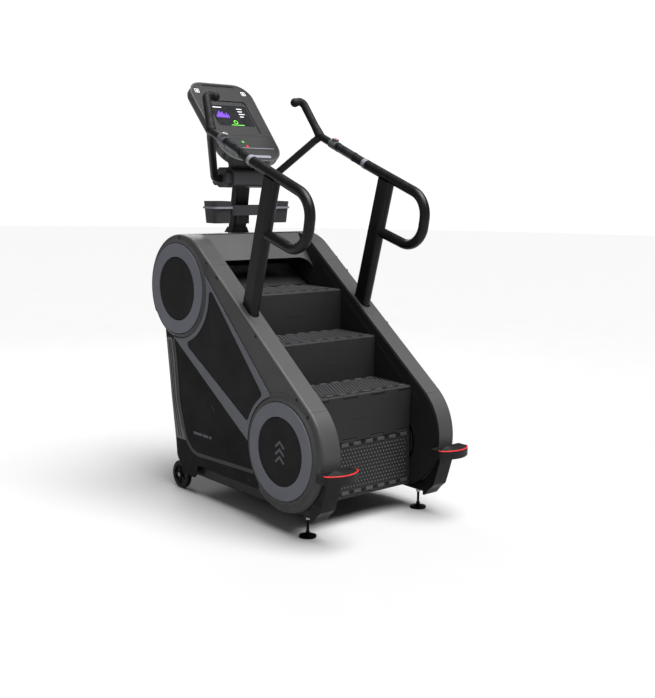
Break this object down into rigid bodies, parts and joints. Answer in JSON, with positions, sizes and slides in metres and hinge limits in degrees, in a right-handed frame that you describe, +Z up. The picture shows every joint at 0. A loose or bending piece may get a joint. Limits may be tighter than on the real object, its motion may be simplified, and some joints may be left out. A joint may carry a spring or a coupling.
{
  "type": "stair climber",
  "caption": "Gym stair climber with an endless flight of steps between side covers, looped handrails, cup holders and a tilted console.",
  "frame": {"origin": "on the floor below the centre of the machine's bounding box", "axes": "+Z up, +Y from the user towards the console, +X to the user's right"},
  "size_m": [0.872, 1.4835, 2.028],
  "materials": {
    "frame_black": "satin black powder coat",
    "handle_black": "soft black coating",
    "rubber_black": "matt moulded rubber",
    "cover_charcoal": "satin charcoal moulding",
    "band_grey": "satin blue-grey paint",
    "ring_grey": "satin blue-grey paint",
    "panel_black": "fine textured black",
    "rear_panel": "fine textured dark moulding",
    "skirt_grey": "satin dark moulding",
    "bracket_black": "satin black",
    "foot_pad": "moulded with ribbed rubber top",
    "step_black": "textured moulded step",
    "bright_steel": "turned steel",
    "foot_steel": "dark zinc",
    "belt_rubber": "ribbed belt",
    "alternator_grey": "cast",
    "wheel_rubber": "hard moulded",
    "sensor_silver": "satin",
    "housing_grey": "satin",
    "button_red": "gloss",
    "button_grey": "gloss",
    "button_green": "gloss",
    "pod_grey": "satin",
    "tray_black": "satin",
    "console_grey": "satin silver grey",
    "console_face": "semi-gloss",
    "screen": "glass-smooth display",
    "inlet_black": "moulded"
  },
  "bodies": {
    "machine": {"alternator": "alternator_grey", "axle_bolts_and_nuts": "bright_steel", "base_frame": "frame_black", "bearings": "bright_steel", "button_housings": "housing_grey", "centre_panels": "panel_black", "chains": "bright_steel", "console_face": "console_face", "console_housing": "console_grey", "console_neck": "pod_grey", "console_screen": "screen", "cup_holders": "tray_black", "disc_caps": "panel_black", "disc_rings": "ring_grey", "drive_belt": "belt_rubber", "foot_pads": "foot_pad", "hand_grips": "rubber_black", "handrails": "frame_black", "hood": "cover_charcoal", "inner_skirts": "skirt_grey", "light_bands": "band_grey", "lower_covers": "cover_charcoal", "mast": "frame_black", "mast_boot": "cover_charcoal", "pod": "pod_grey", "power_inlet": "inlet_black", "pulse_sensors": "sensor_silver", "rail_covers": "cover_charcoal", "rear_cover": "rear_panel", "rear_side_panels": "rear_panel", "side_plates": "frame_black", "toe_brackets": "bracket_black", "tray": "tray_black", "upper_covers": "cover_charcoal", "upper_handles": "handle_black"},
    "front_flight": {"front_treads": "step_black", "front_risers": "step_black", "front_rods": "bright_steel"},
    "return_flight": {"return_treads": "step_black", "return_risers": "step_black", "return_rods": "bright_steel"},
    "upper_shaft_body": {"upper_shaft": "bright_steel"},
    "lower_shaft_body": {"lower_shaft": "bright_steel"},
    "tread_3_link": {"tread_3": "step_black"},
    "riser_3_link": {"riser_3": "step_black"},
    "tread_4_link": {"tread_4": "step_black"},
    "riser_4_link": {"riser_4": "step_black"},
    "tread_7_link": {"tread_7": "step_black"},
    "riser_7_link": {"riser_7": "step_black"},
    "tread_8_link": {"tread_8": "step_black"},
    "riser_8_link": {"riser_8": "step_black"},
    "rotor": {"alternator_rotor": "alternator_grey"},
    "wheel_left": {"transport_wheel_left": "wheel_rubber"},
    "wheel_right": {"transport_wheel_right": "wheel_rubber"},
    "foot_left": {"levelling_foot_left": "foot_steel"},
    "foot_right": {"levelling_foot_right": "foot_steel"},
    "thumb_button_left": {"handle_button_left": "button_grey"},
    "thumb_button_right": {"handle_button_right": "button_red"},
    "stop_key": {"stop_button": "button_red"},
    "go_key": {"go_button": "button_green"}
  },
  "joints": [
    {"name": "stairs_travel", "type": "slide", "parent": "machine", "child": "front_flight", "axis": [0, -0.7824, -0.6228], "range_m": [0, 0.05]},
    {"name": "return_travel", "type": "slide", "parent": "machine", "child": "return_flight", "axis": [0, 0.7824, 0.6228], "range_m": [0, 0.05]},
    {"name": "lower_shaft_turn", "type": "hinge", "parent": "machine", "child": "lower_shaft_body", "pos_m": [0, -0.35152, 0.32204], "axis": [1, 0, 0], "range_deg": [0, 24.92]},
    {"name": "upper_shaft_turn", "type": "hinge", "parent": "machine", "child": "upper_shaft_body", "pos_m": [0, 0.38582, 0.90902], "axis": [1, 0, 0], "range_deg": [0, 24.92]},
    {"name": "rotor_turn", "type": "hinge", "parent": "machine", "child": "rotor", "pos_m": [0, 0.18241, 0.74709], "axis": [1, 0, 0], "range_deg": [0, 84.71]},
    {"name": "tread_3_hinge", "type": "hinge", "parent": "front_flight", "child": "tread_3_link", "pos_m": [0, -0.19581, 0.59299], "axis": [1, 0, 0], "range_deg": [0, 3.47]},
    {"name": "riser_3_hinge", "type": "hinge", "parent": "lower_shaft_body", "child": "riser_3_link", "pos_m": [0, -0.44701, 0.38612], "axis": [1, 0, 0], "range_deg": [-19.64, 0]},
    {"name": "tread_4_hinge", "type": "hinge", "parent": "lower_shaft_body", "child": "tread_4_link", "pos_m": [0, -0.44701, 0.38612], "axis": [1, 0, 0], "range_deg": [-0.2212, 0]},
    {"name": "riser_4_hinge", "type": "hinge", "parent": "return_flight", "child": "riser_4_link", "pos_m": [0, -0.2799, 0.23206], "axis": [1, 0, 0], "range_deg": [0, 22.27]},
    {"name": "tread_7_hinge", "type": "hinge", "parent": "return_flight", "child": "tread_7_link", "pos_m": [0, 0.2301, 0.63806], "axis": [1, 0, 0], "range_deg": [0, 3.47]},
    {"name": "riser_7_hinge", "type": "hinge", "parent": "upper_shaft_body", "child": "riser_7_link", "pos_m": [0, 0.48131, 0.84493], "axis": [1, 0, 0], "range_deg": [-19.64, 0]},
    {"name": "tread_8_hinge", "type": "hinge", "parent": "upper_shaft_body", "child": "tread_8_link", "pos_m": [0, 0.48131, 0.84493], "axis": [1, 0, 0], "range_deg": [-0.2212, 0]},
    {"name": "riser_8_hinge", "type": "hinge", "parent": "front_flight", "child": "riser_8_link", "pos_m": [0, 0.3142, 0.99899], "axis": [1, 0, 0], "range_deg": [0, 22.27]},
    {"name": "transport_wheel_left_spin", "type": "hinge", "parent": "machine", "child": "wheel_left", "pos_m": [-0.367, 0.4862, 0.07], "axis": [1, 0, 0], "continuous": true},
    {"name": "levelling_foot_left_travel", "type": "slide", "parent": "machine", "child": "foot_left", "axis": [0, 0, -1], "range_m": [0, 0.015]},
    {"name": "handle_button_left_press", "type": "slide", "parent": "machine", "child": "thumb_button_left", "axis": [0.0102, 0.3838, -0.9234], "range_m": [0, 0.0025], "stiffness_N_per_m": 800},
    {"name": "transport_wheel_right_spin", "type": "hinge", "parent": "machine", "child": "wheel_right", "pos_m": [0.367, 0.4862, 0.07], "axis": [1, 0, 0], "continuous": true},
    {"name": "levelling_foot_right_travel", "type": "slide", "parent": "machine", "child": "foot_right", "axis": [0, 0, -1], "range_m": [0, 0.015]},
    {"name": "handle_button_right_press", "type": "slide", "parent": "machine", "child": "thumb_button_right", "axis": [-0.0102, 0.3838, -0.9234], "range_m": [0, 0.0025], "stiffness_N_per_m": 800},
    {"name": "stop_button_press", "type": "slide", "parent": "machine", "child": "stop_key", "axis": [0, 0.7431, -0.6691], "range_m": [0, 0.0025], "stiffness_N_per_m": 800},
    {"name": "go_button_press", "type": "slide", "parent": "machine", "child": "go_key", "axis": [0, 0.7431, -0.6691], "range_m": [0, 0.0025], "stiffness_N_per_m": 800}
  ],
  "couplings": [
    {"joint": "return_travel", "follows": "stairs_travel", "ratio": 1},
    {"joint": "lower_shaft_turn", "follows": "stairs_travel", "rad_per_m": 8.6957},
    {"joint": "upper_shaft_turn", "follows": "stairs_travel", "rad_per_m": 8.6957},
    {"joint": "rotor_turn", "follows": "stairs_travel", "rad_per_m": 29.565},
    {"joint": "tread_3_hinge", "follows": "stairs_travel", "rad_per_m": 1.2092},
    {"joint": "riser_3_hinge", "follows": "stairs_travel", "rad_per_m": -6.8528},
    {"joint": "tread_4_hinge", "follows": "stairs_travel", "rad_per_m": -0.073731},
    {"joint": "riser_4_hinge", "follows": "stairs_travel", "rad_per_m": 7.7696},
    {"joint": "tread_7_hinge", "follows": "stairs_travel", "rad_per_m": 1.2092},
    {"joint": "riser_7_hinge", "follows": "stairs_travel", "rad_per_m": -6.8528},
    {"joint": "tread_8_hinge", "follows": "stairs_travel", "rad_per_m": -0.073731},
    {"joint": "riser_8_hinge", "follows": "stairs_travel", "rad_per_m": 7.7696}
  ]
}
